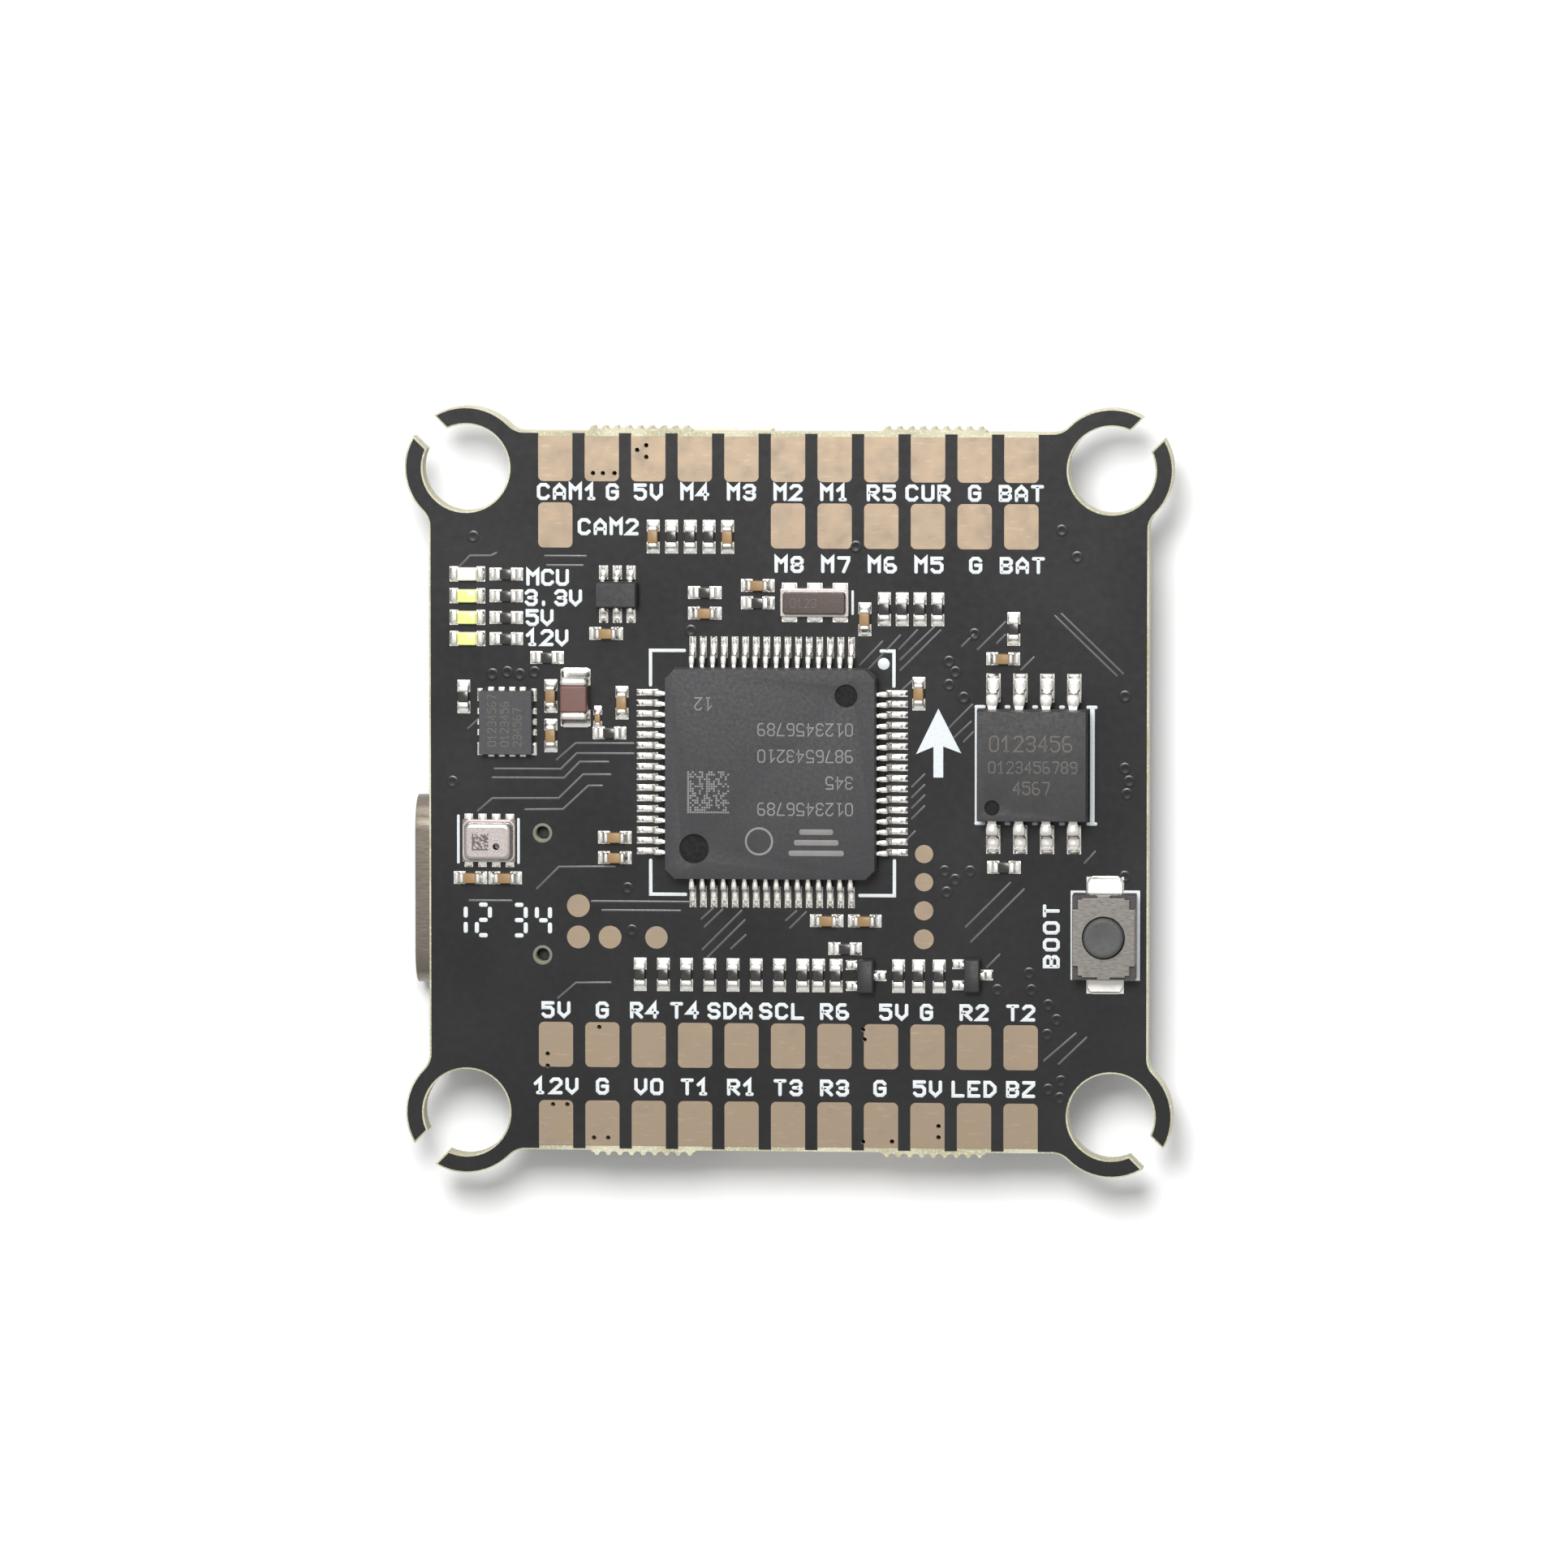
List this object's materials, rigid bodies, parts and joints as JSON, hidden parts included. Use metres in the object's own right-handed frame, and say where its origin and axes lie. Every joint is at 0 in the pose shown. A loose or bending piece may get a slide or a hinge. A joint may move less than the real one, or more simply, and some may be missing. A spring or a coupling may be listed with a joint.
{
  "type": "flight controller board",
  "caption": "Square flight controller board with open corner ears for grommets, wire pads along two edges, processor and sensors in front, and a USB-C and two cable sockets behind.",
  "frame": {"origin": "middle of the four mounting holes, on the front (processor) face of the board", "axes": "+Z out of the front face, +Y the direction of flight shown by the arrow, +X to the right seen from the front"},
  "size_m": [0.0362, 0.0362, 0.0068],
  "materials": {
    "laminate": "matte",
    "solder_mask": "satin",
    "gold_finish": "satin",
    "tin": "satin",
    "chip_epoxy": "matte",
    "lead_plating": "satin",
    "gyro_epoxy": "matte",
    "laminate_small": "matte",
    "silicon": "polished",
    "can_metal": "satin",
    "ceramic_light": "matte",
    "resonator_lid": "satin",
    "lamp_base": "satin",
    "lens_clear": "gloss",
    "lens_yellow": "gloss",
    "resistor_film": "gloss",
    "capacitor_ceramic": "satin",
    "tank_ceramic": "satin",
    "switch_base_plastic": "matte",
    "dome_steel": "polished",
    "button_plastic": "matte",
    "switch_cover_steel": "satin",
    "usb_steel": "satin",
    "usb_plastic": "matte",
    "contact_gold": "gloss",
    "socket_plastic": "satin",
    "quartz": "gloss",
    "inductor_ferrite": "matte"
  },
  "bodies": {
    "board": {"pcb_board": "laminate", "solder_mask_front": "solder_mask", "solder_mask_back": "solder_mask", "solder_pads": "gold_finish", "test_pads": "gold_finish", "component_lands_front": "tin", "component_lands_back": "tin", "mcu_body": "chip_epoxy", "mcu_leads": "lead_plating", "flash_body": "chip_epoxy", "flash_leads": "lead_plating", "gyro_body": "gyro_epoxy", "gyro_pads": "tin", "baro_base": "laminate_small", "baro_die": "silicon", "baro_lid": "can_metal", "resonator_base": "ceramic_light", "resonator_lid": "resonator_lid", "video_switch_body": "chip_epoxy", "video_switch_leads": "lead_plating", "transistor_bodies": "chip_epoxy", "transistor_leads": "lead_plating", "led_bases": "lamp_base", "led_terminals": "tin", "led_status_lens": "lens_clear", "led_power_lenses": "lens_yellow", "resistor_bodies_front": "resistor_film", "resistor_ends_front": "tin", "capacitor_bodies_front": "capacitor_ceramic", "capacitor_ends_front": "tin", "tank_capacitor_body": "tank_ceramic", "tank_capacitor_ends": "tin", "boot_base": "switch_base_plastic", "boot_terminals": "lead_plating", "boot_dome": "dome_steel", "boot_cover": "switch_cover_steel", "usb_shell": "usb_steel", "usb_housing": "usb_plastic", "usb_contacts": "contact_gold", "usb_mid_plate": "dome_steel", "esc_socket_housing": "socket_plastic", "esc_socket_pins": "contact_gold", "esc_socket_tabs": "tin", "video_socket_housing": "socket_plastic", "video_socket_pins": "contact_gold", "video_socket_tabs": "tin", "osd_body": "chip_epoxy", "osd_leads": "lead_plating", "crystal_base": "ceramic_light", "crystal_blank": "quartz", "crystal_lid": "can_metal", "inductor_bodies": "inductor_ferrite", "inductor_terminals": "tin", "regulator_bodies": "chip_epoxy", "regulator_leads": "lead_plating", "resistor_bodies_back": "resistor_film", "resistor_ends_back": "tin", "capacitor_bodies_back": "capacitor_ceramic", "capacitor_ends_back": "tin"},
    "button": {"boot_button": "button_plastic"}
  },
  "joints": [
    {"name": "boot_press", "type": "slide", "parent": "board", "child": "button", "axis": [0, 0, -1], "range_m": [0, 0.0002], "deforming": ["boot_dome"]}
  ]
}
